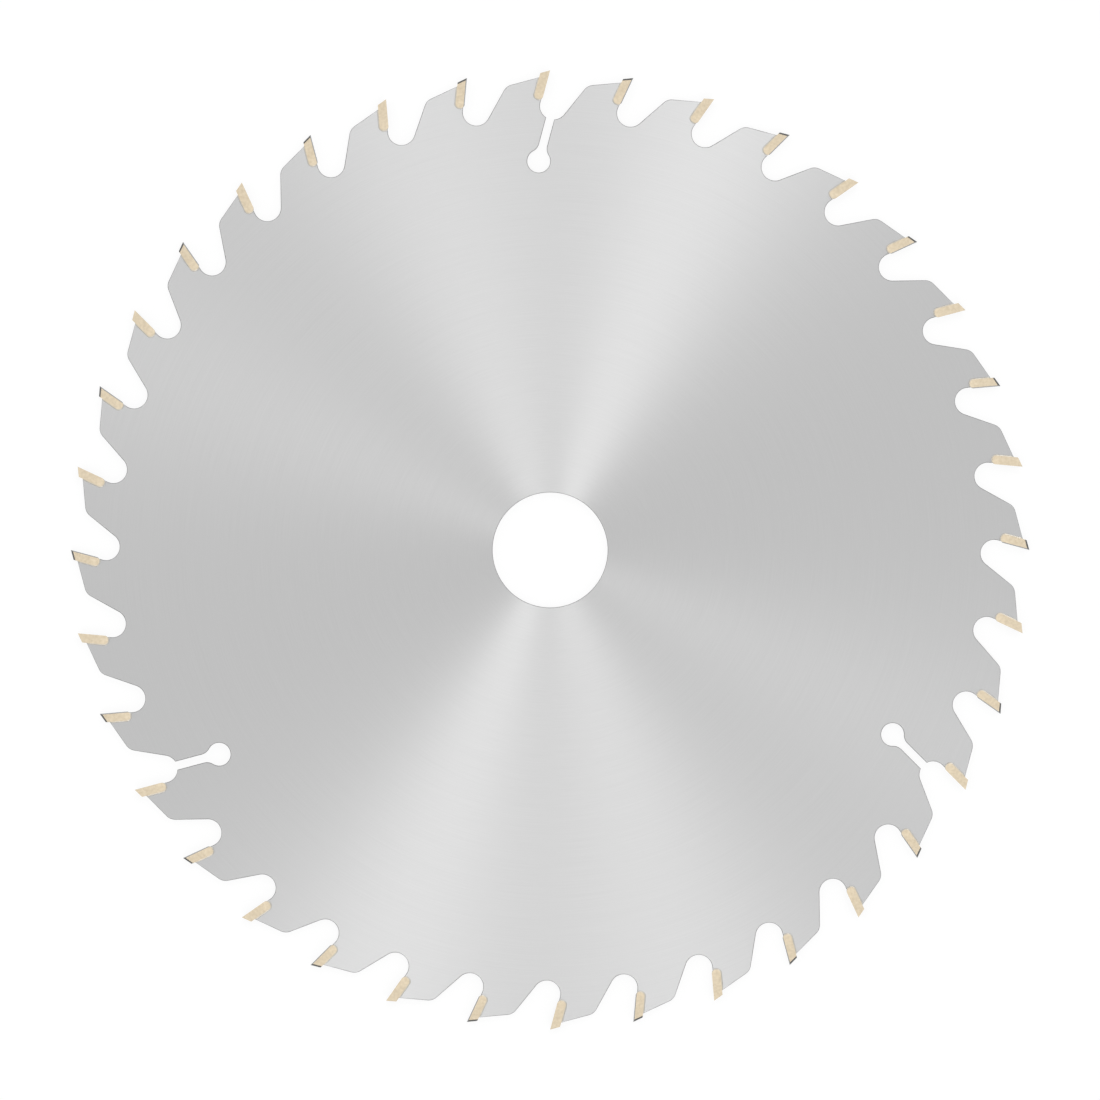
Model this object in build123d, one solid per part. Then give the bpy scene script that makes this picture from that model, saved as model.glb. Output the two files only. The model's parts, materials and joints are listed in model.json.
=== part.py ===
from build123d import *
from math import cos, isclose, radians, sin, sqrt, tan
import os

# A circular saw blade with brazed hard-metal tips, in millimetres and degrees.
# The origin is the centre of the bore at mid-thickness, and +Z is the arbor axis.
# Seen from +Z the teeth cut clockwise. The first tooth point stands on +Y and the
# others are counted anticlockwise from it.

# Plate
blade_diameter = 250.0  # over the tooth points
bore_diameter = 30.0
bore_chamfer = 0.15
plate_thickness = 2.2

# Teeth, all measured from the rake face, which leans forward by the hook angle
tooth_count = 36
hook_angle = 15.0
relief_angle = 15.0  # fall of the tip's top and of the plate's land behind it
land_drop = 1.0  # from the tip's top line down to the plate's land
back_angle = 61.0  # slope of the tooth's back against the rim
shoulder_radius = 3.2  # between the land and the back
gullet_depth = 12.8  # from the tooth point circle to the gullet's bottom
gullet_radius = 3.55
face_lead = 0.3  # how far the rake face stands ahead of the gullet's wall

# Hard-metal tips
tip_length = 8.0  # down the rake face
tip_thickness = 2.3  # back from the rake face
tip_heel_radius = 1.0
tip_overhang = 0.5  # how far a tip stands out from each side of the plate
radial_clearance = 1.0  # the tip's sides draw in towards the bore
tangential_clearance = 2.5  # and towards the tooth's back
top_bevel = 10.0  # alternately to one side and the other
face_bevel = 4.0
braze_thickness = 0.1

# Expansion slots
slot_count = 3
slot_width = 2.2
slot_length = 11.35  # from the gullet's bottom to the centre of the relief hole
slot_throat_radius = 3.0  # where the slot runs into its relief hole
relief_hole_diameter = 6.0

# Worked out from the sizes above
tip_radius = blade_diameter / 2
kerf = plate_thickness + 2 * tip_overhang
pitch_angle = 360.0 / tooth_count
gullet_ahead = gullet_radius - face_lead  # gullet centre, ahead of the rake face
heel_radius = min(tip_heel_radius, 0.48 * tip_thickness)  # the two roundings don't meet
beyond_rim = gullet_depth  # cutters run this far past the rim

# The face frame has its origin at the tooth point, x ahead of the rake face and y up along it.
face_frame = Pos(0, tip_radius) * Rot(0, 0, -hook_angle)


def turned(angle, shape):
    """The shape turned about the arbor axis."""
    return Rot(0, 0, angle) * shape


def on_face(ahead, up):
    """The point of the blade that has these coordinates in the face frame."""
    return (face_frame * Pos(ahead, up)).position


def heading(angle):
    """Unit vector at this angle from +X."""
    return Vector(cos(radians(angle)), sin(radians(angle)))


def crossing(start_a, angle_a, start_b, angle_b):
    """The point where two lines, each given by a point and its heading, cross."""
    along = heading(angle_a)
    normal_b = heading(angle_b + 90)
    return start_a + along * ((start_b - start_a).dot(normal_b) / along.dot(normal_b))


def near(sketch, point):
    """The vertex of a sketch that lies nearest to a point."""
    return sketch.vertices().sort_by_distance(point)[0]


def slab(sketch, thickness):
    """The sketch given a thickness, half to each side of the blade's mid-plane."""
    return Pos(0, 0, -thickness / 2) * extrude(sketch, amount=thickness)


def gullet_centre():
    """Centre of a gullet in the face frame, with the gullet's bottom at its full depth."""
    centre_radius = tip_radius - gullet_depth + gullet_radius
    across = gullet_ahead - tip_radius * sin(radians(hook_angle))
    up = sqrt(centre_radius**2 - across**2) - tip_radius * cos(radians(hook_angle))
    return Vector(gullet_ahead, up)


def gap_behind_tooth():
    """What is cut away between the first tooth and the next: land, shoulder, back and gullet."""
    centre = gullet_centre()
    gullet = turned(pitch_angle, Pos(on_face(centre.X, centre.Y))).position
    wall_angle = pitch_angle - hook_angle + 90
    foot = gullet + heading(wall_angle + 90) * gullet_radius
    back = gullet + heading(back_angle - 90) * gullet_radius

    land = Vector(0, tip_radius) + heading(relief_angle - 90) * land_drop
    shoulder = crossing(land, relief_angle, back, back_angle)
    nose = crossing(land, relief_angle, on_face(-face_lead, 0), 90 - hook_angle)

    outside = turned(pitch_angle, Pos(on_face(-face_lead, beyond_rim))).position
    above = on_face(gullet_ahead, beyond_rim)
    outline = make_face(Polyline(nose, shoulder, back, gullet, foot, outside, above, close=True))
    rounded = fillet(near(outline, shoulder), shoulder_radius)
    return rounded + Pos(gullet) * Circle(gullet_radius)


def tip_outline(room=0.0):
    """Side view of a tip in the face frame, with room before and behind it but none under its heel."""
    front = room
    back = -tip_thickness - room
    fall = tan(radians(hook_angle + relief_angle))
    corners = [(front, -tip_length), (front, front * fall), (back, back * fall), (back, -tip_length)]
    outline = make_face(Polyline(corners, close=True))
    return fillet([near(outline, corners[0]), near(outline, corners[3])], heel_radius + room)


def tip_seat():
    """The recess for one tip and its braze, open towards the gullet and the rim, in the face frame."""
    pocket = tip_outline(braze_thickness)
    width = tip_thickness + 2 * braze_thickness
    opening = Pos(-tip_thickness / 2, beyond_rim / 2 - tip_length / 2) * Rectangle(width, beyond_rim)
    return pocket + opening


def expansion_slot():
    """A slot from the gullet inwards, parallel to the rake face, that ends in a relief hole."""
    run = gullet_radius + slot_length
    mouth = gullet_centre()
    hole = mouth - Vector(0, run)
    slot = Pos((mouth + hole) / 2) * Rectangle(slot_width, run)
    keyhole = slot + Pos(hole) * Circle(relief_hole_diameter / 2)
    reach = sqrt((relief_hole_diameter / 2) ** 2 - (slot_width / 2) ** 2)
    corners = [near(keyhole, hole + Vector(side * slot_width / 2, reach)) for side in (-1, 1)]
    return fillet(corners, slot_throat_radius)


def toothed_disc():
    """The plate's outline with its gullets, before the tip seats are cut."""
    gap = gap_behind_tooth()
    return Circle(tip_radius) - [turned(i * pitch_angle, gap) for i in range(tooth_count)]


def make_plate(disc):
    """The steel plate: seats, expansion slots and bore cut through, bore edges eased."""
    seat = face_frame * tip_seat()
    seats = [turned(i * pitch_angle, seat) for i in range(tooth_count)]
    slot = face_frame * expansion_slot()
    slotted = [round(i * tooth_count / slot_count) for i in range(slot_count)]
    slots = [turned(i * pitch_angle, slot) for i in slotted]
    plan = disc - seats - slots - Circle(bore_diameter / 2)
    plate = slab(plan, plate_thickness)
    arcs = plate.edges().filter_by(GeomType.CIRCLE)
    bore_edges = arcs.filter_by(lambda edge: isclose(edge.radius, bore_diameter / 2))
    return chamfer(bore_edges, bore_chamfer)


def ground(tip, point, normal):
    """The tip with everything outside a grinding plane removed."""
    return split(tip, bisect_by=Plane(origin=point, z_dir=normal), keep=Keep.BOTTOM)


def make_tip(lead_side):
    """A tip in the face frame, with its leading corner on the +Z side for 1 or the -Z side for -1."""
    tip = slab(tip_outline(), kerf)
    for side in (-1, 1):
        draw_in = (-tan(radians(tangential_clearance)), -tan(radians(radial_clearance)), side)
        tip = ground(tip, (0, 0, side * kerf / 2), draw_in)

    lead_corner = (0, 0, lead_side * kerf / 2)
    top = heading(hook_angle + relief_angle + 90)
    tip = ground(tip, lead_corner, (top.X, top.Y, -lead_side * tan(radians(top_bevel))))
    return ground(tip, lead_corner, (1, 0, -lead_side * tan(radians(face_bevel))))


def make_braze_seam(disc):
    """The braze behind the first tip: a flat layer from the heel's rounding up to the land."""
    height = tip_length - heel_radius - braze_thickness
    middle = Pos(-tip_thickness - braze_thickness / 2, -height / 2)
    layer = face_frame * middle * Rectangle(braze_thickness, height)
    return slab(disc & layer, plate_thickness)


def write(node, shape):
    """One named piece, written to a file of its own."""
    shape.label = node
    export_step(shape, f"parts/{node}.step")


def main():
    os.makedirs("parts", exist_ok=True)
    disc = toothed_disc()
    write("blade_plate", make_plate(disc))

    tips = [make_tip(1), make_tip(-1)]
    for i in range(tooth_count):
        tip = turned(i * pitch_angle, face_frame * tips[i % 2])
        write(f"carbide_tip_{i + 1:02d}", tip)

    seam = make_braze_seam(disc)
    write("braze_seams", Compound([turned(i * pitch_angle, seam) for i in range(tooth_count)]))


main()
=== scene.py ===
# %% [markdown]
# # A tipped circular saw blade
#
# The real object is a flat steel disc with 36 teeth. Each tooth carries a small block of hard metal,
# brazed into a seat at its corner. The solids come ready-made as the frame, in metres, with the origin
# at the centre of the bore and +Z along the arbor. This script gives them their finish.
#
# The frame is loaded first, and everything after it takes its place from there.

# %% Load the frame
import json
from math import acos, ceil, cos, degrees, radians, sin, sqrt, tan

import bpy
from mathutils import Matrix, Vector


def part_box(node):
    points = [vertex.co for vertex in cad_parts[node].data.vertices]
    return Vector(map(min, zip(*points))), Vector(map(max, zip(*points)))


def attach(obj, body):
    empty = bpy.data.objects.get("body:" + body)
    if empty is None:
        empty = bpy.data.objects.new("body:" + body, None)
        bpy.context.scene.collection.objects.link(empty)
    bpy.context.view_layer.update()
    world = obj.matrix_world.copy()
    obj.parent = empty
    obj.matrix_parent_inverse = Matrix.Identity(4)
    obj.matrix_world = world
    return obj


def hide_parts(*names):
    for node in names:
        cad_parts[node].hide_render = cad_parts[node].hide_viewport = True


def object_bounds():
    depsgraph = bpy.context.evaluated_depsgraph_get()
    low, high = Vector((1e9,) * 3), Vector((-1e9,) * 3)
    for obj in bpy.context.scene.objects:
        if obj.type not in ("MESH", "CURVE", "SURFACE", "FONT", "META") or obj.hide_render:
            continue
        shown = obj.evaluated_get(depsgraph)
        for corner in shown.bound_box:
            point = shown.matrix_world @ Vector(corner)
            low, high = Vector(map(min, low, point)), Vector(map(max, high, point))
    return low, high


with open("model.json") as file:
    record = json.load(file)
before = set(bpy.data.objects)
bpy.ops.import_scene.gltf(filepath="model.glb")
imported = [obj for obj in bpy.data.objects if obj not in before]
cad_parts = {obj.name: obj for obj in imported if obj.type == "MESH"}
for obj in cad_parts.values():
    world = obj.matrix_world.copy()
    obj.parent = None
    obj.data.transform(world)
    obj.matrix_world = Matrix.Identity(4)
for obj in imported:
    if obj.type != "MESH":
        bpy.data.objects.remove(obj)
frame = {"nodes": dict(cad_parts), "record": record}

cad_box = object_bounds()
scene = bpy.context.scene
mm = 0.001
print("nodes:", len(frame["nodes"]), "box in mm:", [round(x / mm, 2) for corner in cad_box for x in corner])

# %% [markdown]
# ## Sizes
#
# A piece that is made here has to fit the solids. What the frame can say is read from it: the number of
# tips, the radius of the tooth points, the plate's thickness and the bore. The rest of the outline is a
# short list of a saw maker's sizes: angles, radii and depths. From them the outline is worked out.

# %% Read and name the sizes
tip_nodes = sorted(name for name in frame["nodes"] if name.startswith("carbide_tip"))
tooth_count = len(tip_nodes)
pitch_angle = 360 / tooth_count
tip_radius = cad_box[1].y
plate_low, plate_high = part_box("blade_plate")
plate_thickness = plate_high.z - plate_low.z
mounts = {mount["name"]: mount for mount in frame["record"]["mounts"]}
bore_radius = mounts["arbor_bore"]["dims"]["r_mm"] * mm

hook_angle = 15.0  # the rake face leans forward by this
relief_angle = 15.0  # fall of the land behind the tip
land_drop = 1.0 * mm  # from the tip's top line down to the land
back_angle = 61.0  # slope of the tooth's back against the rim
shoulder_radius = 3.2 * mm
gullet_depth = 12.8 * mm
gullet_radius = 3.55 * mm
face_lead = 0.3 * mm  # the rake face stands this far ahead of the gullet's wall

tip_length = 8.0 * mm
tip_thickness = 2.3 * mm
tip_heel_radius = 1.0 * mm
braze_thickness = 0.1 * mm

slot_count = 3
slot_width = 2.2 * mm
slot_length = 11.35 * mm
slot_throat_radius = 3.0 * mm
relief_hole_radius = 3.0 * mm

edge_break = 0.15 * mm  # the deburred corner between a face and an edge
print("teeth:", tooth_count, "plate in mm:", round(plate_thickness / mm, 3), "bore:", bore_radius / mm)

# %% [markdown]
# ## The camera
#
# The photograph looks straight down on the blade with hardly any perspective, so the camera hangs high
# over the bore with a long lens. Its height follows from the lens and from how much the frame takes in.
# An orthographic camera would be simpler, but no real lens sees without any perspective.

# %% Place the camera
photo_side = 1100  # pixels
photo_centre = Vector((550.14, 549.97))  # where the bore's centre lies in the photograph, from its top left
photo_scale = 3.8355 / mm  # pixels to a metre
lens = 400.0
camera_reach = 100  # metres, beyond which it sees nothing

camera_data = bpy.data.cameras.new("overhead")
camera_data.lens = lens
camera_data.clip_end = camera_reach
camera = bpy.data.objects.new("overhead", camera_data)
scene.collection.objects.link(camera)
view_width = photo_side / photo_scale
camera_height = view_width * lens / camera_data.sensor_width
aside = (photo_side / 2 - photo_centre.x) / photo_scale
above = (photo_centre.y - photo_side / 2) / photo_scale
camera.location = (aside, above, camera_height)
scene.camera = camera
print("view width in mm:", round(view_width / mm, 2), "camera height in m:", round(camera_height, 3))

# %% [markdown]
# ## A helper for node trees
#
# Materials, the world and Geometry Nodes are all trees of nodes. They could be drawn by hand in the
# editor, but a script can be read and run again. So one small function adds a node, applies its
# settings, and fills each input with a value or with another node's output.

# %% Define the node helper
def add_node(tree, kind, inputs=None, **settings):
    """A new node of this kind, with its settings applied and its inputs filled or linked."""
    made = tree.nodes.new(kind)
    for setting, value in settings.items():
        setattr(made, setting, value)
    for socket, value in (inputs or {}).items():
        for one in value if isinstance(value, list) else [value]:
            if isinstance(one, bpy.types.NodeSocket):
                tree.links.new(one, made.inputs[socket])
            else:
                made.inputs[socket].default_value = one
    return made


# %% [markdown]
# ## A ceiling of light
#
# The blade lies under a broad soft ceiling of light. A large area lamp could be hung over it, but the
# world does the same with nothing that gets into a view: it shines from every side, as bright as its
# tree says for each direction. Here it gets darker towards the horizon.

# %% Light the ceiling
ceiling_light = 0.90
horizon_light = 0.63
ceiling_starts = 0.7  # height of a direction above the horizon, where straight up is 1


def coordinate(tree, vector, axis):
    """One coordinate of a vector."""
    return add_node(tree, "ShaderNodeSeparateXYZ", {0: vector}).outputs[axis]


world = bpy.data.worlds.new("studio")
world.use_nodes = True
scene.world = world
tree = world.node_tree
direction = add_node(tree, "ShaderNodeTexCoord").outputs["Generated"]
light = add_node(tree, "ShaderNodeMapRange", {
    "Value": coordinate(tree, direction, "Z"), "From Min": 0.0, "From Max": ceiling_starts,
    "To Min": horizon_light, "To Max": ceiling_light,
}, interpolation_type="SMOOTHSTEP").outputs[0]
tree.nodes["Background"].inputs["Strength"].default_value = 1.0
tree.links.new(light, tree.nodes["Background"].inputs["Color"])
print("ceiling:", len(tree.nodes), "nodes")

# %% [markdown]
# ## Three suns
#
# Ground in circles, the steel throws a lamp back as a pair of cones from the bore, one each way. The
# direction of the lamp decides where its cones lie, and its width how soft they are. The photograph
# shows three such pairs. Area lamps would make them too, but their light comes in at another angle
# everywhere, and that bends the cones. A sun's light is parallel, so its cones run straight to the rim.

# %% Place the suns
sun_tilt = 30.0  # from straight overhead
suns = {  # the way each shines from, its strength, and how wide it is, in degrees
    "right_sun": (68.4, 0.272, 10.5),
    "front_sun": (287.6, 0.235, 14.0),
    "left_sun": (154.4, 0.096, 9.5),
}
for name, (azimuth, strength, width) in suns.items():
    sun_data = bpy.data.lights.new(name, "SUN")
    sun_data.energy = strength
    sun_data.angle = radians(width)
    sun = bpy.data.objects.new(name, sun_data)
    sun.rotation_euler = (0, radians(sun_tilt), radians(azimuth))
    scene.collection.objects.link(sun)
    print(name, "shines along", [round(x, 2) for x in sun.rotation_euler.to_matrix() @ Vector((0, 0, -1))])

# %% [markdown]
# ## The white of the floor
#
# The blade lies on a white sweep. White card under this light comes out pale grey, and more light would
# bleach the blade. So the floor takes light and shadow like white card, and only what looks at it
# directly, or in a reflection, sees it lifted to plain white, with some of the blade's shadow kept. A
# Light Path node says who is looking.

# %% Mix the floor's white
floor_colour = 0.85
floor_shade = 0.12  # the share of the floor, as it is seen, that still shows shadow
floor_glow = 0.89


def grey(level):
    """A grey, as the four numbers of a colour."""
    return level, level, level, 1


def calculate(tree, operation, *values):
    """The result of a Math node."""
    return add_node(tree, "ShaderNodeMath", dict(enumerate(values)), operation=operation).outputs[0]


floor_material = bpy.data.materials.new("white sweep")
floor_material.use_nodes = True
tree = floor_material.node_tree
tree.nodes.clear()
card = add_node(tree, "ShaderNodeBsdfDiffuse", {"Color": grey(floor_colour)}).outputs[0]
shade = add_node(tree, "ShaderNodeBsdfDiffuse", {"Color": grey(floor_shade)}).outputs[0]
glow = add_node(tree, "ShaderNodeEmission", {"Strength": floor_glow}).outputs[0]
seen = add_node(tree, "ShaderNodeAddShader", {0: shade, 1: glow}).outputs[0]
path = add_node(tree, "ShaderNodeLightPath").outputs
looks = calculate(tree, "MAXIMUM", path["Is Camera Ray"], path["Is Glossy Ray"])
looks = calculate(tree, "MAXIMUM", looks, path["Is Transmission Ray"])
mixed = add_node(tree, "ShaderNodeMixShader", {0: looks, 1: card, 2: seen}).outputs[0]
add_node(tree, "ShaderNodeOutputMaterial", {"Surface": mixed})
print("white sweep:", len(tree.nodes), "nodes")

# %% [markdown]
# ## The floor
#
# Seen from low down, a flat floor stops short of the horizon, because a camera sees only so far, and a
# bigger floor doesn't help. So this one is modest. It rises a little towards its rim, as a paper sweep
# does, so that a low view still ends on white.

# %% Lay the floor
flat_half = 7.0  # metres from the middle to where the floor starts to rise
floor_half = 9.0
floor_rise = 0.3

floor_height = cad_box[0].z
around = ((-1, -1), (1, -1), (1, 1), (-1, 1))
flat = [(x * flat_half, y * flat_half, floor_height) for x, y in around]
raised = [(x * floor_half, y * floor_half, floor_height + floor_rise) for x, y in around]
slopes = [(i, 4 + i, 4 + (i + 1) % 4, (i + 1) % 4) for i in range(4)]
floor_mesh = bpy.data.meshes.new("floor")
floor_mesh.from_pydata(flat + raised, [], [(0, 1, 2, 3), *slopes])
floor_mesh.materials.append(floor_material)
floor = bpy.data.objects.new("floor", floor_mesh)
scene.collection.objects.link(floor)
print("floor at", round(floor_height / mm, 2), "mm")

# %% [markdown]
# ## Helpers for a finish
#
# Every finish on this blade is bare metal, varied a little by noise. An image of a real surface would
# do too, but noise has no seam and needs no file. The helpers are the steps that the finishes share: a
# metallic material is started, noise is read at a place, it is moved to the range that is wanted, two
# colours are blended by it, and the surface is roughened with it.

# %% Define the finish helpers
def bare_metal(name):
    """A new metallic material, its tree and its Principled shader."""
    material = bpy.data.materials.new(name)
    material.use_nodes = True
    shader = material.node_tree.nodes["Principled BSDF"]
    shader.inputs["Metallic"].default_value = 1.0
    return material, material.node_tree, shader


def noise(tree, place, scale=1.0, detail=2.0):
    """Smooth random values that depend on a place."""
    inputs = {"Vector": place, "Scale": scale, "Detail": detail}
    return add_node(tree, "ShaderNodeTexNoise", inputs).outputs[0]


def stretch(tree, value, low, high, to_low, to_high):
    """The value moved from one range to another, and kept inside it."""
    inputs = {"Value": value, "From Min": low, "From Max": high, "To Min": to_low, "To Max": to_high}
    return add_node(tree, "ShaderNodeMapRange", inputs).outputs[0]


def from_noise(tree, random, low=0.0, high=1.0):
    """A value between two, from a noise, most of whose own values lie between 0.3 and 0.7."""
    return stretch(tree, random, 0.3, 0.7, low, high)


def blend_colours(tree, amount, low, high):
    """A colour between two, by an amount from 0 to 1."""
    # The inputs 6 and 7 and the output 2 of a Mix node are the ones for colours.
    return add_node(tree, "ShaderNodeMix", {0: amount, 6: low, 7: high}, data_type="RGBA").outputs[2]


def roughen(tree, shader, height, strength, depth):
    """Ties the shader's normal to a bump made from these heights."""
    bump = add_node(tree, "ShaderNodeBump", {"Strength": strength, "Distance": depth, "Height": height})
    tree.links.new(bump.outputs[0], shader.inputs["Normal"])


# %% [markdown]
# ## Rings round the bore
#
# A grinder's scratches run in rings round the bore, so the noise for them is drawn out along circles.
# Its first coordinate is the distance from the bore, and the other two only say which way one has gone
# round, so each scratch runs on for a long arc. A Wave texture makes rings too, but closed and evenly
# spaced ones.

# %% Define the ring helpers
def scaled(tree, vector, amount):
    """The vector made longer or shorter."""
    return add_node(tree, "ShaderNodeVectorMath", {0: vector, "Scale": amount}, operation="SCALE").outputs[0]


def multiplied(tree, vector, factors):
    """The vector with each coordinate times a factor of its own."""
    return add_node(tree, "ShaderNodeVectorMath", {0: vector, 1: factors}, operation="MULTIPLY").outputs[0]


def outward_from_axis(tree):
    """The direction away from the arbor axis, and the distance from it."""
    spot = add_node(tree, "ShaderNodeTexCoord").outputs["Object"]
    flat = multiplied(tree, spot, (1, 1, 0))
    outward = add_node(tree, "ShaderNodeVectorMath", {0: flat}, operation="NORMALIZE").outputs[0]
    radius = add_node(tree, "ShaderNodeVectorMath", {0: flat}, operation="LENGTH").outputs["Value"]
    return outward, radius


def ring_noise(tree, outward, radius, rings, arcs, detail):
    """Noise drawn out along circles: how fast it changes outwards, and how fast on the way round."""
    across = calculate(tree, "MULTIPLY", radius, rings)
    parts = add_node(tree, "ShaderNodeSeparateXYZ", {0: scaled(tree, outward, arcs)}).outputs
    place = {"X": across, "Y": parts["X"], "Z": parts["Y"]}
    return noise(tree, add_node(tree, "ShaderNodeCombineXYZ", place).outputs[0], detail=detail)


# %% [markdown]
# ## Steel ground in circles
#
# The plate's two faces are finished on a grinder that turns them under the wheel. That leaves rings of
# very fine scratches. They could be cut into the mesh, at the price of millions of faces. What they do
# to light is simpler: it spreads widely across the scratches and little along them. A Principled shader
# does this with its Anisotropic value and a tangent. The tangent here points away from the bore, worked
# out from Object coordinates, so it follows the blade wherever it goes.

# %% Make the ground steel
steel_dark, steel_light = grey(0.716), grey(0.744)
steel_smooth, steel_rough = 0.469, 0.486
fine_share = 0.8  # of a mark, the rest being broad

ground_steel, tree, shader = bare_metal("ground steel")
outward, radius = outward_from_axis(tree)
fine = ring_noise(tree, outward, radius, rings=5200, arcs=5.0, detail=2.0)
broad = ring_noise(tree, outward, radius, rings=420, arcs=1.6, detail=1.0)
mark = calculate(tree, "MULTIPLY_ADD", broad, 1 - fine_share, calculate(tree, "MULTIPLY", fine, fine_share))
steel_colour = blend_colours(tree, from_noise(tree, mark), steel_dark, steel_light)
tree.links.new(steel_colour, shader.inputs["Base Color"])
tree.links.new(from_noise(tree, mark, steel_smooth, steel_rough), shader.inputs["Roughness"])
roughen(tree, shader, fine, strength=0.2, depth=0.02 * mm)
tree.links.new(outward, shader.inputs["Tangent"])
shader.inputs["Anisotropic"].default_value = 0.95
print("ground steel:", len(tree.nodes), "nodes")

# %% [markdown]
# ## The edge of the plate
#
# The outline was cut by laser. A laser leaves fine upright ribs on the cut wall, dull beside the ground
# faces. Its colour here is darker still than cut steel: partly painted shade, for the dark line along the
# plate's edges. The ribs are noise again, because noise in space follows every turn of the wall by
# itself, and an image would have to be wrapped round it. It changes fast along the wall and slowly up
# it, because the height is multiplied by a smaller factor than the other two coordinates.

# %% Make the cut edge
# Partly dull cut steel, partly painted shade: these greys are darkened to draw a dark line along the edges.
shaded_edge_dark, shaded_edge_light = grey(0.38), grey(0.48)
edge_smooth, edge_rough = 0.38, 0.52
rib_spread = (6000, 6000, 350)  # how fast the noise changes along X, along Y and up the wall

cut_edge, tree, shader = bare_metal("cut steel edge")
spot = add_node(tree, "ShaderNodeTexCoord").outputs["Object"]
ribs = noise(tree, multiplied(tree, spot, rib_spread))
shaded_edge_colour = blend_colours(tree, from_noise(tree, ribs), shaded_edge_dark, shaded_edge_light)
tree.links.new(shaded_edge_colour, shader.inputs["Base Color"])
tree.links.new(from_noise(tree, ribs, edge_smooth, edge_rough), shader.inputs["Roughness"])
roughen(tree, shader, ribs, strength=0.25, depth=0.03 * mm)
print("cut edge:", len(tree.nodes), "nodes")

# %% [markdown]
# ## Points and headings
#
# The plate's outline is made of straight runs and arcs. They could be drawn by hand as Bezier curves,
# but then nothing would keep its angle or radius when a size changes. So a few small functions work it
# out the way one does on paper. A heading is a direction, given by its angle. A corner is where two
# lines cross. The seat's own corners are easiest given in the frame of the tip's rake face.

# %% Define points and headings
def heading(angle):
    """Unit vector at this angle from +X."""
    return Vector((cos(radians(angle)), sin(radians(angle))))


def turned(angle, point):
    """The point turned about the axis."""
    return Matrix.Rotation(radians(angle), 2) @ point


def on_face(ahead, up):
    """A point of the first tooth, from its place ahead of the rake face and up along it."""
    return Vector((0, tip_radius)) + turned(-hook_angle, Vector((ahead, up)))


def crossing(start_a, angle_a, start_b, angle_b):
    """The point where two lines, each given by a point and its heading, cross."""
    along = heading(angle_a)
    normal_b = heading(angle_b + 90)
    return start_a + along * ((start_b - start_a).dot(normal_b) / along.dot(normal_b))


print("the first rake face ends at", [round(x / mm, 2) for x in on_face(0, -tip_length)])

# %% [markdown]
# ## Arcs
#
# An arc has a centre, a radius and two headings. In a mesh it becomes a row of chords, and too few of
# them show as corners. A fixed number of chords is wasted on a small arc and coarse on a large one, so
# the number follows from how far a chord may leave its arc.

# %% Define arcs
arc_error = 0.002 * mm


def arc(centre, radius, start, end, count=None):
    """Points along an arc from one heading to another, as many as keep its chords close to it."""
    step = degrees(2 * acos(1 - arc_error / radius))
    count = count or max(2, ceil(abs(end - start) / step))
    return [centre + radius * heading(start + (end - start) * i / count) for i in range(count + 1)]


def on_face_arc(centre, radius, start, end, count=None):
    """An arc whose centre and headings are given in the frame of the rake face."""
    return arc(on_face(*centre), radius, start - hook_angle, end - hook_angle, count)


def rounded(corner, heading_in, turn, radius):
    """An arc that rounds a corner, for a path that comes in along a heading and turns left there."""
    start = corner - heading(heading_in) * radius * tan(radians(turn / 2))
    centre = start + heading(heading_in + 90) * radius
    return arc(centre, radius, heading_in - 90, heading_in - 90 + turn)


half_circle = arc(Vector((0, 0)), gullet_radius, 0, 180)
print("half a circle of the gullet's radius takes", len(half_circle) - 1, "chords")

# %% [markdown]
# ## The corners of one tooth
#
# The plate's outline follows a rule: one notch, repeated round the axis. So only one notch is drawn,
# from the middle of one tooth's land to the middle of the next. It is cut in the middle of a straight
# run on purpose, because there two neighbours meet with no corner. First come the places that the notch
# is hung on: the gullet's centre, the upper end of the seat, and the shoulder between land and back.

# %% Work out the corners of one tooth
along_face = 90 - hook_angle
gullet_ahead = gullet_radius - face_lead
gullet_out = tip_radius - gullet_depth + gullet_radius
gullet_across = gullet_ahead - tip_radius * sin(radians(hook_angle))
gullet_up = sqrt(gullet_out**2 - gullet_across**2) - tip_radius * cos(radians(hook_angle))
gullet = on_face(gullet_ahead, gullet_up)

land = Vector((0, tip_radius)) + heading(relief_angle - 90) * land_drop
seat_top = crossing(land, relief_angle, on_face(-tip_thickness - braze_thickness, 0), along_face)
back = turned(pitch_angle, gullet) + heading(back_angle - 90) * gullet_radius
shoulder = crossing(land, relief_angle, back, back_angle)
shoulder_arc = rounded(shoulder, relief_angle + 180, back_angle - relief_angle, shoulder_radius)
land_middle = (seat_top + shoulder_arc[0]) / 2
print("the gullet's bottom lies", round((gullet.length - gullet_radius) / mm, 2), "mm from the axis")

# %% [markdown]
# ## The gullet and its slot
#
# The gullet is the round hollow in front of a tooth, where the sawdust gathers. Three of them also have
# an expansion slot, which lets the rim grow when it gets hot, and a round relief hole at its end, so
# that the plate doesn't crack there. A Boolean could cut slot and hole out of the plate, but then the
# broken edge wouldn't follow them. As part of the outline they are arcs joined by straight runs.

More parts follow.
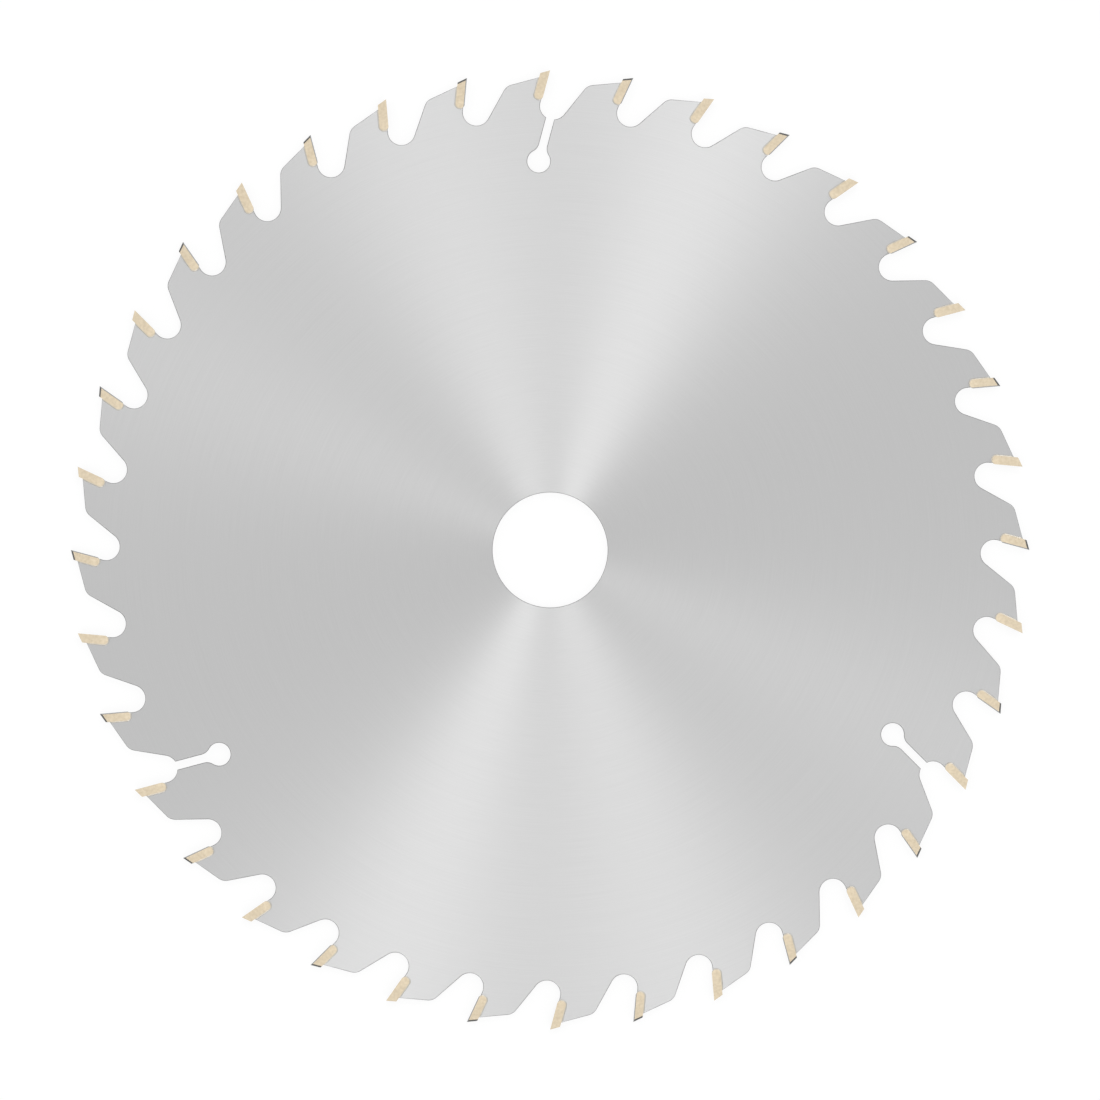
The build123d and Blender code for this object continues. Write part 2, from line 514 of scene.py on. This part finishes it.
# %% Run through the gullet
def gullet_run(slotted):
    """The gullet from the back of the tooth ahead to the wall, through the slot if there is one."""
    first = back_angle - pitch_angle - 90
    last = along_face + 90 - 360
    if not slotted:
        return arc(gullet, gullet_radius, first, last)
    half = slot_width / 2
    mouth = degrees(acos(half / gullet_radius))
    hole_up = gullet_up - gullet_radius - slot_length
    between = relief_hole_radius + slot_throat_radius
    throat_aside = half + slot_throat_radius
    throat_up = sqrt(between**2 - throat_aside**2)
    lean = degrees(acos(throat_aside / between))
    right = (gullet_ahead + throat_aside, hole_up + throat_up)
    left = (gullet_ahead - throat_aside, hole_up + throat_up)
    return [
        *arc(gullet, gullet_radius, first, -mouth - hook_angle),
        *on_face_arc(right, slot_throat_radius, 180, 180 + lean),
        *on_face_arc((gullet_ahead, hole_up), relief_hole_radius, lean, -180 - lean),
        *on_face_arc(left, slot_throat_radius, -lean, 0),
        *arc(gullet, gullet_radius, mouth - 180 - hook_angle, last),
    ]


print("gullet:", len(gullet_run(False)), "points, with its slot:", len(gullet_run(True)))

# %% [markdown]
# ## The seat, and the whole notch
#
# The seat is cut into the tooth's corner and takes the tip. It starts in a thin lip of steel at the
# gullet's wall, runs under the heel, and climbs to the land. The edge is broken all along it. At the lip
# that needs chords which are longer than the broken corner is wide, or the corner would fold over
# itself.
#
# Shoulder, gullet and seat then make one notch. It is drawn twice, without a slot and with one.

# %% Draw the two notches
def seat_run():
    """The tip's seat, from the gullet's wall to the land."""
    radius = tip_heel_radius + braze_thickness
    up = radius - tip_length
    front = braze_thickness - radius
    heel = radius - tip_thickness - braze_thickness
    wall = -degrees(acos((-face_lead - front) / radius))
    return [
        *on_face_arc((front, up), radius, wall, -90, count=2),
        *on_face_arc((heel, up), radius, -90, -180),
        seat_top,
    ]


def notch(slotted):
    """The plate's outline from the middle of the land ahead to the middle of the first tooth's land."""
    coming = [turned(-pitch_angle, point) for point in [land_middle, *shoulder_arc]]
    return [*coming, *gullet_run(slotted), *seat_run(), land_middle]


def make_path(name, points, closed=False):
    """A curve object of straight runs through these points, for Geometry Nodes to read."""
    curve = bpy.data.curves.new(name, "CURVE")
    curve.dimensions = "3D"
    spline = curve.splines.new("POLY")
    spline.points.add(len(points) - 1)
    for corner, point in zip(spline.points, points):
        corner.co = (point[0], point[1], 0, 1)
    spline.use_cyclic_u = closed
    made = bpy.data.objects.new(name, curve)
    scene.collection.objects.link(made)
    return made


plain_notch = make_path("plain_notch", notch(False))
slotted_notch = make_path("slotted_notch", notch(True))
for drawn in (plain_notch, slotted_notch):
    print(drawn.name, "has", len(drawn.data.splines[0].points), "points")

# %% [markdown]
# ## Helpers for Geometry Nodes
#
# What repeats on the blade is made with Geometry Nodes. A loop in the script could repeat it too, but a
# tree has named inputs, and in the editor one can watch its result while a size changes. The helpers
# add the few groups of nodes that the plate and the braze share.

# %% Define the tree helpers
def start_tree(name, **sockets):
    """A geometry tree with named inputs, and its group input's outputs."""
    tree = bpy.data.node_groups.new(name, "GeometryNodeTree")
    tree.interface.new_socket("Geometry", in_out="OUTPUT", socket_type="NodeSocketGeometry")
    for label, kind in sockets.items():
        tree.interface.new_socket(label.replace("_", " "), in_out="INPUT", socket_type="NodeSocket" + kind)
    return tree, tree.nodes.new("NodeGroupInput").outputs


def object_geometry(tree, source):
    """The geometry of an object that is one of the tree's inputs."""
    return add_node(tree, "GeometryNodeObjectInfo", {"Object": source}).outputs["Geometry"]


def simple(tree, kind, geometry, more=None, **settings):
    """A node that takes one geometry and gives one back."""
    return add_node(tree, kind, {0: geometry, **(more or {})}, **settings).outputs[0]


def merge(tree, geometry):
    """The geometry with its doubled points made one."""
    return simple(tree, "GeometryNodeMergeByDistance", geometry, {"Distance": 0.001 * mm})


def moved(tree, geometry, shift):
    """The geometry in another place."""
    return simple(tree, "GeometryNodeTransform", geometry, {"Translation": shift})


def join(tree, *parts):
    """The parts as one geometry."""
    return add_node(tree, "GeometryNodeJoinGeometry", {0: list(parts)}).outputs[0]


def round_the_axis(tree, geometry, count, selection=True):
    """The geometry repeated round the axis, at every place that the selection names."""
    index = add_node(tree, "GeometryNodeInputIndex").outputs[0]
    step = calculate(tree, "DIVIDE", radians(360), count)
    angle = calculate(tree, "MULTIPLY", index, step)
    spin = add_node(tree, "ShaderNodeCombineXYZ", {"Z": angle}).outputs[0]
    places = add_node(tree, "GeometryNodePoints", {"Count": count}).outputs[0]
    inputs = {"Points": places, "Selection": selection, "Instance": geometry, "Rotation": spin}
    return add_node(tree, "GeometryNodeInstanceOnPoints", inputs).outputs[0]


# %% [markdown]
# ## The rim and the bore
#
# The tree for the plate starts with its outline. Instances of the notch are turned round the axis until
# they close, with the slotted one at every twelfth tooth. The bore is a circle that runs the other way,
# so that the steel is on the same side of both. The alternative is to bevel a copy of the solid's mesh.
# Its arcs are coarse, though, and an outline keeps every arc as fine as it was drawn.

# %% Close the outline
tree, given = start_tree("saw plate", Notch="Object", Slotted_notch="Object", Edge_section="Object",
                         Teeth="Int", Slots="Int", Bore_radius="Float", Bore_corners="Int",
                         Half_thickness="Float", Face_finish="Material", Edge_finish="Material")
index = add_node(tree, "GeometryNodeInputIndex").outputs[0]
every = calculate(tree, "DIVIDE", given["Teeth"], given["Slots"])
is_slotted = calculate(tree, "LESS_THAN", calculate(tree, "MODULO", index, every), 0.5)
is_plain = calculate(tree, "SUBTRACT", 1.0, is_slotted)
plain = round_the_axis(tree, object_geometry(tree, given["Notch"]), given["Teeth"], is_plain)
slotted = round_the_axis(tree, object_geometry(tree, given["Slotted notch"]), given["Teeth"], is_slotted)
rim = simple(tree, "GeometryNodeRealizeInstances", join(tree, plain, slotted))
circle = {"Radius": given["Bore radius"], "Resolution": given["Bore corners"]}
bore = add_node(tree, "GeometryNodeCurvePrimitiveCircle", circle).outputs[0]
outline = join(tree, rim, simple(tree, "GeometryNodeReverseCurve", bore))
print("saw plate:", len(tree.nodes), "nodes so far")

# %% [markdown]
# ## The edge and the two faces
#
# A small section, which is the plate's edge with its two broken corners, is swept along the outline.
# What is left open, above and below, is filled flat. Extruding a filled outline would be shorter, but
# its edge would be square, and the corners of a real edge catch a little light.

# %% Sweep the edge and fill the faces
upright = simple(tree, "GeometryNodeSetCurveNormal", outline, mode="Z_UP")
section = object_geometry(tree, given["Edge section"])
wall = merge(tree, simple(tree, "GeometryNodeCurveToMesh", upright, {"Profile Curve": section}))

beside = add_node(tree, "GeometryNodeInputMeshEdgeNeighbors").outputs[0]
is_open = calculate(tree, "LESS_THAN", beside, 1.5)  # a face on one side only
height = coordinate(tree, add_node(tree, "GeometryNodeInputPosition").outputs[0], "Z")
is_above = calculate(tree, "GREATER_THAN", height, 0.0)
top_edge = calculate(tree, "MULTIPLY", is_open, is_above)
rim_line = simple(tree, "GeometryNodeMeshToCurve", wall, {"Selection": top_edge})
face = simple(tree, "GeometryNodeFillCurve", rim_line)
lift = add_node(tree, "ShaderNodeCombineXYZ", {"Z": given["Half thickness"]}).outputs[0]
top = moved(tree, face, lift)
underside = moved(tree, face, scaled(tree, lift, -1.0))
whole = merge(tree, join(tree, wall, top, simple(tree, "GeometryNodeFlipFaces", underside)))
print("saw plate:", len(tree.nodes), "nodes so far")

# %% [markdown]
# ## Corners and finishes
#
# The curved parts of the edge have to look smooth and its corners sharp. Flat shading would show every
# chord, and smooth shading alone would round the corners off. So an edge is marked sharp where two
# faces meet at more than a small angle. Then the finishes are given out: a face that looks straight up
# or down is one of the two ground ones, and all others are cut.

# %% Shade and finish the plate
corner_angle = 25  # degrees; a sharper bend between two faces stays a corner
face_tilt = 0.9  # a face whose normal is more upright than this is one of the two ground ones

bend = add_node(tree, "GeometryNodeInputMeshEdgeAngle").outputs[0]
is_corner = calculate(tree, "GREATER_THAN", bend, radians(corner_angle))
smoothed = simple(tree, "GeometryNodeSetShadeSmooth", whole, {"Shade Smooth": True})
corners = {"Selection": is_corner, "Shade Smooth": False}
creased = simple(tree, "GeometryNodeSetShadeSmooth", smoothed, corners, domain="EDGE")
real = simple(tree, "GeometryNodeRealizeInstances", creased)
edged = simple(tree, "GeometryNodeSetMaterial", real, {"Material": given["Edge finish"]})
facing = coordinate(tree, add_node(tree, "GeometryNodeInputNormal").outputs[0], "Z")
is_face = calculate(tree, "GREATER_THAN", calculate(tree, "ABSOLUTE", facing), face_tilt)
ground_faces = {"Selection": is_face, "Material": given["Face finish"]}
faced = simple(tree, "GeometryNodeSetMaterial", edged, ground_faces)
add_node(tree, "NodeGroupOutput", {0: faced})
print("saw plate:", len(tree.nodes), "nodes")

# %% [markdown]
# ## Growing the plate
#
# The tree could stay on the object as a modifier, but an exporter wants a plain mesh. So it runs once,
# on an object with an empty mesh, and what it makes is kept. The finer plate then stands in for the
# plain one of the solids.

# %% Grow the plate
bore_corners = 160


def grow(name, tree, values):
    """What a tree makes from these input values, as a plain mesh in an object of its own."""
    piece = bpy.data.objects.new(name, bpy.data.meshes.new(name + " seed"))
    scene.collection.objects.link(piece)
    modifier = piece.modifiers.new("grow", "NODES")
    modifier.node_group = tree
    sockets = {item.name: item.identifier for item in tree.interface.items_tree}
    for label, value in values.items():
        modifier[sockets[label]] = value
    evaluated = piece.evaluated_get(bpy.context.evaluated_depsgraph_get())
    mesh = bpy.data.meshes.new_from_object(evaluated)
    piece.modifiers.clear()
    piece.data = mesh
    if mesh.materials[0] is None:  # a slot that no face uses
        mesh.materials.pop(index=0)
    print(name, "has", len(mesh.vertices), "points and", len(mesh.polygons), "faces")
    return piece


half_thickness = plate_thickness / 2
edge_section = make_path("edge_section", [
    (-edge_break, -half_thickness), (0, edge_break - half_thickness),
    (0, half_thickness - edge_break), (-edge_break, half_thickness),
])
plate = grow("ground_plate", tree, {
    "Notch": plain_notch, "Slotted notch": slotted_notch, "Edge section": edge_section,
    "Teeth": tooth_count, "Slots": slot_count, "Bore radius": bore_radius, "Bore corners": bore_corners,
    "Half thickness": half_thickness, "Face finish": ground_steel, "Edge finish": cut_edge,
})
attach(plate, "root")
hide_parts("blade_plate")

# %% [markdown]
# ## The faces of a tip
#
# A tip is sintered hard metal. Its sides show the tan of the braze and the firing. Its top and its rake
# face are ground grey carbide, the rake face finer and shinier. Here both are made far darker than that
# grey, which is painted shade for the dark these tilted faces take. Three materials on chosen faces
# would do, but the tips come as solids whose meshes stay as they are. So one material does all three:
# it looks at the way a surface faces. What faces along the arbor is a side, what faces away from it is
# the top, and the rest is the rake face.

# %% Tell the faces of a tip apart
side_starts, side_full = 0.75, 0.9  # how far the normal points along the arbor
top_starts, top_full = 0.5, 0.8  # how far it points away from the axis

hard_metal, tree, shader = bare_metal("hard metal")
coordinates = add_node(tree, "ShaderNodeTexCoord").outputs
outward, radius = outward_from_axis(tree)
facing = coordinate(tree, coordinates["Normal"], "Z")
away = {0: coordinates["Normal"], 1: outward}
away = add_node(tree, "ShaderNodeVectorMath", away, operation="DOT_PRODUCT").outputs["Value"]
side = stretch(tree, calculate(tree, "ABSOLUTE", facing), side_starts, side_full, 0, 1)
top = stretch(tree, away, top_starts, top_full, 0, 1)
print("hard metal:", len(tree.nodes), "nodes so far")

# %% [markdown]
# ## Hard metal
#
# The sides of a tip are mottled, and a painted highlight makes them a little lighter at the heel. Its
# ground faces show the fine marks of the wheel. A single colour for each would look like plastic up
# close, so each of the three gets two colours and a noise between them. The amounts from the last step
# then blend the three.

# %% Colour the hard metal
side_dark, side_light = (0.64, 0.545, 0.402, 1), (0.755, 0.655, 0.498, 1)
# Painted shade: the top and rake colours are far darker than ground carbide, for the dark of these tilted
# faces.
shaded_top_dark, shaded_top_light = (0.060, 0.057, 0.052, 1), (0.10, 0.096, 0.088, 1)
shaded_rake_dark, shaded_rake_light = (0.16, 0.16, 0.155, 1), (0.22, 0.22, 0.21, 1)
side_rough, top_rough, rake_rough = 0.5, 0.4, 0.22
heel_highlight = 1.05  # painted highlight: how much lighter the sides are at the heel
highlight_fades, highlight_ends = 119.0 * mm, 120.3 * mm  # distances from the axis over which the painted highlight fades
wheel_spread = (900, 900, 9000)  # slow along a tip and fast across it, so the marks run lengthwise

mottle = noise(tree, coordinates["Object"], scale=1300.0, detail=3.0)
side_colour = blend_colours(tree, from_noise(tree, mottle), side_dark, side_light)
# Painted highlight: the sides are made lighter towards the heel, nearer the axis.
side_colour = scaled(tree, side_colour, stretch(tree, radius, highlight_fades, highlight_ends, heel_highlight, 1.0))
wheel = from_noise(tree, noise(tree, multiplied(tree, coordinates["Object"], wheel_spread)))
shaded_top_colour = blend_colours(tree, wheel, shaded_top_dark, shaded_top_light)
shaded_rake_colour = blend_colours(tree, wheel, shaded_rake_dark, shaded_rake_light)
shaded_ground_colour = blend_colours(tree, top, shaded_rake_colour, shaded_top_colour)
tree.links.new(blend_colours(tree, side, shaded_ground_colour, side_colour), shader.inputs["Base Color"])
ground_rough = stretch(tree, top, 0, 1, rake_rough, top_rough)
tree.links.new(stretch(tree, side, 0, 1, ground_rough, side_rough), shader.inputs["Roughness"])
roughen(tree, shader, mottle, strength=0.12, depth=0.02 * mm)
shader.inputs["Specular Tint"].default_value = grey(0.6)
for name in tip_nodes:
    frame["nodes"][name].material_slots[0].material = hard_metal
print("hard metal:", len(tree.nodes), "nodes, on", len(tip_nodes), "tips")

# %% [markdown]
# ## Braze
#
# The tips are held by brazing alloy, a dull metal between silver and brass. It shows as the edge of the
# thin layer behind each tip, which is in the solids, and as the beads that are made next. Its colour
# here is darker than the bare alloy: painted shade, for the shadow the beads lie in under the tip. A
# flat colour would look painted, so a little noise clouds it.

# %% Make the braze
# Partly the alloy's own colour, partly painted shade: both greys are set darker than bare braze.
shaded_braze_dark, shaded_braze_light = (0.555, 0.52, 0.46, 1), (0.635, 0.60, 0.53, 1)
braze_smooth, braze_rough = 0.34, 0.5

braze, tree, shader = bare_metal("braze alloy")
spot = add_node(tree, "ShaderNodeTexCoord").outputs["Object"]
cloud = noise(tree, spot, scale=1400.0, detail=3.0)
shaded_braze_colour = blend_colours(tree, from_noise(tree, cloud), shaded_braze_dark, shaded_braze_light)
tree.links.new(shaded_braze_colour, shader.inputs["Base Color"])
tree.links.new(from_noise(tree, cloud, braze_smooth, braze_rough), shader.inputs["Roughness"])
frame["nodes"]["braze_seams"].material_slots[0].material = braze
print("braze:", len(tree.nodes), "nodes")

# %% [markdown]
# ## The foot of a tip
#
# The alloy creeps out of the seat as a small bead along the foot of the tip, on both faces of the plate:
# down the back, round the heel, and up to the lip of the seat in front. A bevel between tip and plate
# can't make it, because they are separate solids. So the bead is swept, and what comes first is its
# path. The straight back is cut in short steps, because the bead's width changes from point to point.

# %% Draw the foot of a tip
bead_short = 0.15 * mm  # it ends this far below the land
bead_steps = 14  # down the straight back
bead_end = -51  # heading from the front corner's centre at which it ends

heel_ahead = tip_heel_radius - tip_thickness
heel_up = tip_heel_radius - tip_length
top_up = (seat_top - on_face(-tip_thickness, 0)).dot(heading(along_face)) - bead_short
down_the_back = [top_up + (heel_up - top_up) * i / bead_steps for i in range(bead_steps)]
foot_path = make_path("tip_foot", [
    *[on_face(-tip_thickness, up) for up in down_the_back],
    *on_face_arc((heel_ahead, heel_up), tip_heel_radius, 180, 270),
    *on_face_arc((-tip_heel_radius, heel_up), tip_heel_radius, -90, bead_end),
])
print("foot of a tip:", len(foot_path.data.splines[0].points), "points")

# %% [markdown]
# ## The sections of the braze
#
# Two sections are swept along the foot. The bead's is a flat fillet. It starts inside the tip, thins out
# on the plate, and reaches down into the broken corner of the seat. A round section would be easier, but
# molten braze wets the steel and lies down flat on it. The other section is a plain upright strip, for
# the alloy inside the seat. It closes the gap that the solids leave under the heel.

# %% Draw the two sections
bead_width = 0.32 * mm
bead_height = 0.08 * mm
bead_root = 0.16 * mm  # how far it reaches down into the broken corner of the seat
into_tip = 0.03 * mm
web_side = braze_thickness + 0.02 * mm
web_half = half_thickness - 0.03 * mm

bead_section = make_path("bead_section", [
    (-into_tip, -bead_height), (into_tip, -0.8 * bead_height), (0.35 * bead_width, -0.35 * bead_height),
    (0.7 * bead_width, -0.1 * bead_height), (bead_width, 0), (0.5 * bead_width, bead_root),
    (-into_tip, bead_root),
], closed=True)
web_section = make_path("web_section", [
    (-into_tip, -web_half), (web_side, -web_half), (web_side, web_half), (-into_tip, web_half),
], closed=True)
print("the bead's section has", len(bead_section.data.splines[0].points), "points")

# %% [markdown]
# ## A bead of uneven width
#
# No bead of braze keeps its width, and no two are alike. Noise at the place of each point gives it a
# size of its own, and one seed fixes them all. Plain random values would do for separate pieces, but
# along a path they would make the bead jagged. Towards both ends the bead gets thinner.

# %% Vary the bead
taper_share = 0.1  # of the way from an end of the path to its middle
taper_to = 0.45  # the bead's size at its very end

tree, given = start_tree("braze beads", Foot="Object", Bead_section="Object", Web_section="Object",
                         Tips="Int", Half_thickness="Float", Unevenness="Float", Lumps="Float",
                         Seed="Float", Finish="Material")
spot = add_node(tree, "GeometryNodeInputPosition").outputs[0]
lumps = {"Vector": spot, "W": given["Seed"], "Scale": given["Lumps"], "Detail": 1.0}
lumps = add_node(tree, "ShaderNodeTexNoise", lumps, noise_dimensions="4D").outputs[0]
swing = calculate(tree, "MULTIPLY", calculate(tree, "SUBTRACT", lumps, 0.5), given["Unevenness"])
along = add_node(tree, "GeometryNodeSplineParameter").outputs["Factor"]
from_middle = calculate(tree, "ABSOLUTE", calculate(tree, "MULTIPLY_ADD", along, 2.0, -1.0))
from_end = calculate(tree, "SUBTRACT", 1.0, from_middle)
taper = stretch(tree, from_end, 0.0, taper_share, taper_to, 1.0)
size = calculate(tree, "MULTIPLY", calculate(tree, "ADD", 1.0, swing), taper)
print("braze beads:", len(tree.nodes), "nodes so far")

# %% [markdown]
# ## Sweeping the braze
#
# The foot is repeated at every tip, lifted to one face of the plate and lowered to the other, and the
# bead's section is swept along it with the size from the last step. Sweeping one bead and mirroring it
# would be shorter, but then both faces of the blade would show the same lumps. Below the plate only the
# section is mirrored. That turns the bead inside out, so its faces are flipped back. The strip is swept
# once, at mid-height, with one size all along.

# %% Sweep the beads and the strip
def along_feet(shift, section, scale):
    """A section swept along the foot of every tip, at one height and scaled as it goes."""
    placed = moved(tree, object_geometry(tree, given["Foot"]), shift)
    paths = simple(tree, "GeometryNodeRealizeInstances", round_the_axis(tree, placed, given["Tips"]))
    upright = simple(tree, "GeometryNodeSetCurveNormal", paths, mode="Z_UP")
    swept = {"Profile Curve": section, "Scale": scale, "Fill Caps": True}
    return simple(tree, "GeometryNodeCurveToMesh", upright, swept)


lift = add_node(tree, "ShaderNodeCombineXYZ", {"Z": given["Half thickness"]}).outputs[0]
section = object_geometry(tree, given["Bead section"])
mirrored = simple(tree, "GeometryNodeTransform", section, {"Scale": (1, -1, 1)})
above = along_feet(lift, section, size)
below = simple(tree, "GeometryNodeFlipFaces", along_feet(scaled(tree, lift, -1.0), mirrored, size))
smoothed = simple(tree, "GeometryNodeSetShadeSmooth", join(tree, above, below))
web = along_feet((0, 0, 0), object_geometry(tree, given["Web section"]), 1.0)
real = simple(tree, "GeometryNodeRealizeInstances", join(tree, smoothed, web))
finished = simple(tree, "GeometryNodeSetMaterial", real, {"Material": given["Finish"]})
add_node(tree, "NodeGroupOutput", {0: finished})
print("braze beads:", len(tree.nodes), "nodes")

# %% [markdown]
# ## Growing the beads
#
# The second tree runs once, like the first. The beads are all one object, because they are one finish
# and never move apart, and a hundred small objects would only be harder to handle. They are added to
# the solids and stand in for none of them.

# %% Grow the beads
beads = grow("braze_beads", tree, {
    "Foot": foot_path, "Bead section": bead_section, "Web section": web_section,
    "Tips": tooth_count, "Half thickness": half_thickness, "Unevenness": 0.4, "Lumps": 900.0, "Seed": 3.0,
    "Finish": braze,
})
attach(beads, "root")

# %% [markdown]
# ## Clear the bench
#
# The drawings and sections have done their work. They come off before the scene is closed. The view's
# colours are set to Standard, which shows a colour as it was mixed. Others bend it, as film does.

# %% Finish
for drawn in (plain_notch, slotted_notch, edge_section, foot_path, bead_section, web_section):
    bpy.data.objects.remove(drawn)

scene.view_settings.view_transform = "Standard"
